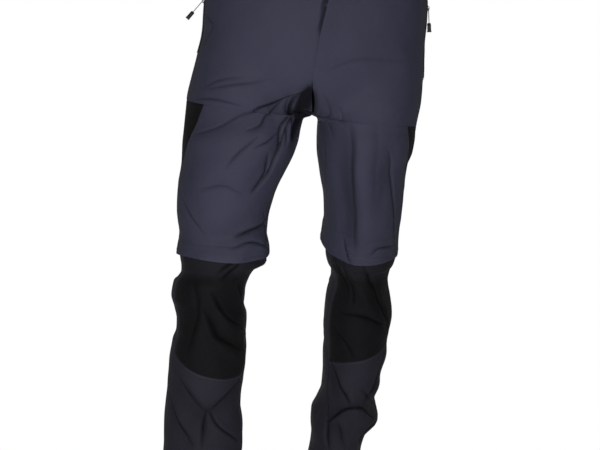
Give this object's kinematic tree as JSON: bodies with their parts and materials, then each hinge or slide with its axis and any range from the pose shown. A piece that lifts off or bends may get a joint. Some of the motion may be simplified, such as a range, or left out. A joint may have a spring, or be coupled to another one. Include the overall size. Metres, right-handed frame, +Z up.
{
  "type": "zip-off walking trousers worn at the waist",
  "caption": "Slate blue walking trousers with zip-off lower legs, black knee panels and side inserts, in the hollow form of a standing wearer.",
  "frame": {"origin": "middle of the waistband ring, at half its height, where the wearer holds the trousers up", "axes": "+X to the wearer's left, the front faces -Y, +Z up"},
  "size_m": [0.4076, 0.3214, 1.0779],
  "materials": {
    "slate": "plain woven nylon, faint sheen",
    "black": "matte stretch weave",
    "tape": "zip tape with coil teeth",
    "metal": "plated zip slider",
    "rubber": "moulded matte",
    "button": "moulded"
  },
  "bodies": {
    "garment": {"waistband": "slate", "waist_button": "button", "front_right": "slate", "front_left": "slate", "back_right": "slate", "back_left": "slate", "side_insert_right": "black", "side_insert_left": "black", "fly_flap": "slate", "fly_zip": "tape", "pocket_zip_right": "tape", "pocket_zip_left": "tape", "pocket_slider_right": "metal", "pocket_slider_left": "metal", "leg_zip_right": "tape", "leg_zip_left": "tape", "leg_slider_right": "metal", "leg_slider_left": "metal", "zip_flap_right": "slate", "zip_flap_left": "slate", "knee_panel_right": "black", "knee_panel_left": "black", "shin_panel_right": "slate", "shin_panel_left": "slate", "calf_panel_right": "slate", "calf_panel_left": "slate"},
    "right_pocket_pull": {"pocket_pull_right": "rubber"},
    "left_pocket_pull": {"pocket_pull_left": "rubber"},
    "right_leg_pull": {"leg_pull_right": "rubber"},
    "left_leg_pull": {"leg_pull_left": "rubber"}
  },
  "joints": [
    {"name": "right_pocket_pull_hinge", "type": "hinge", "parent": "garment", "child": "right_pocket_pull", "pos_m": [-0.19792, -0.01102, -0.08405], "axis": [-0.067, 0.9978, 0.002], "range_deg": [-24, 52]},
    {"name": "left_pocket_pull_hinge", "type": "hinge", "parent": "garment", "child": "left_pocket_pull", "pos_m": [0.17148, -0.01097, -0.05468], "axis": [-0.062, -0.9981, 0], "range_deg": [0, 82]},
    {"name": "right_leg_pull_hinge", "type": "hinge", "parent": "garment", "child": "right_leg_pull", "pos_m": [-0.05704, -0.04636, -0.47368], "axis": [-0.4709, -0.8819, 0.022], "range_deg": [-4, 6]},
    {"name": "left_leg_pull_hinge", "type": "hinge", "parent": "garment", "child": "left_leg_pull", "pos_m": [0.05031, 0.07835, -0.44462], "axis": [0.2109, 0.9615, 0.1759], "range_deg": [-2, 6]}
  ]
}
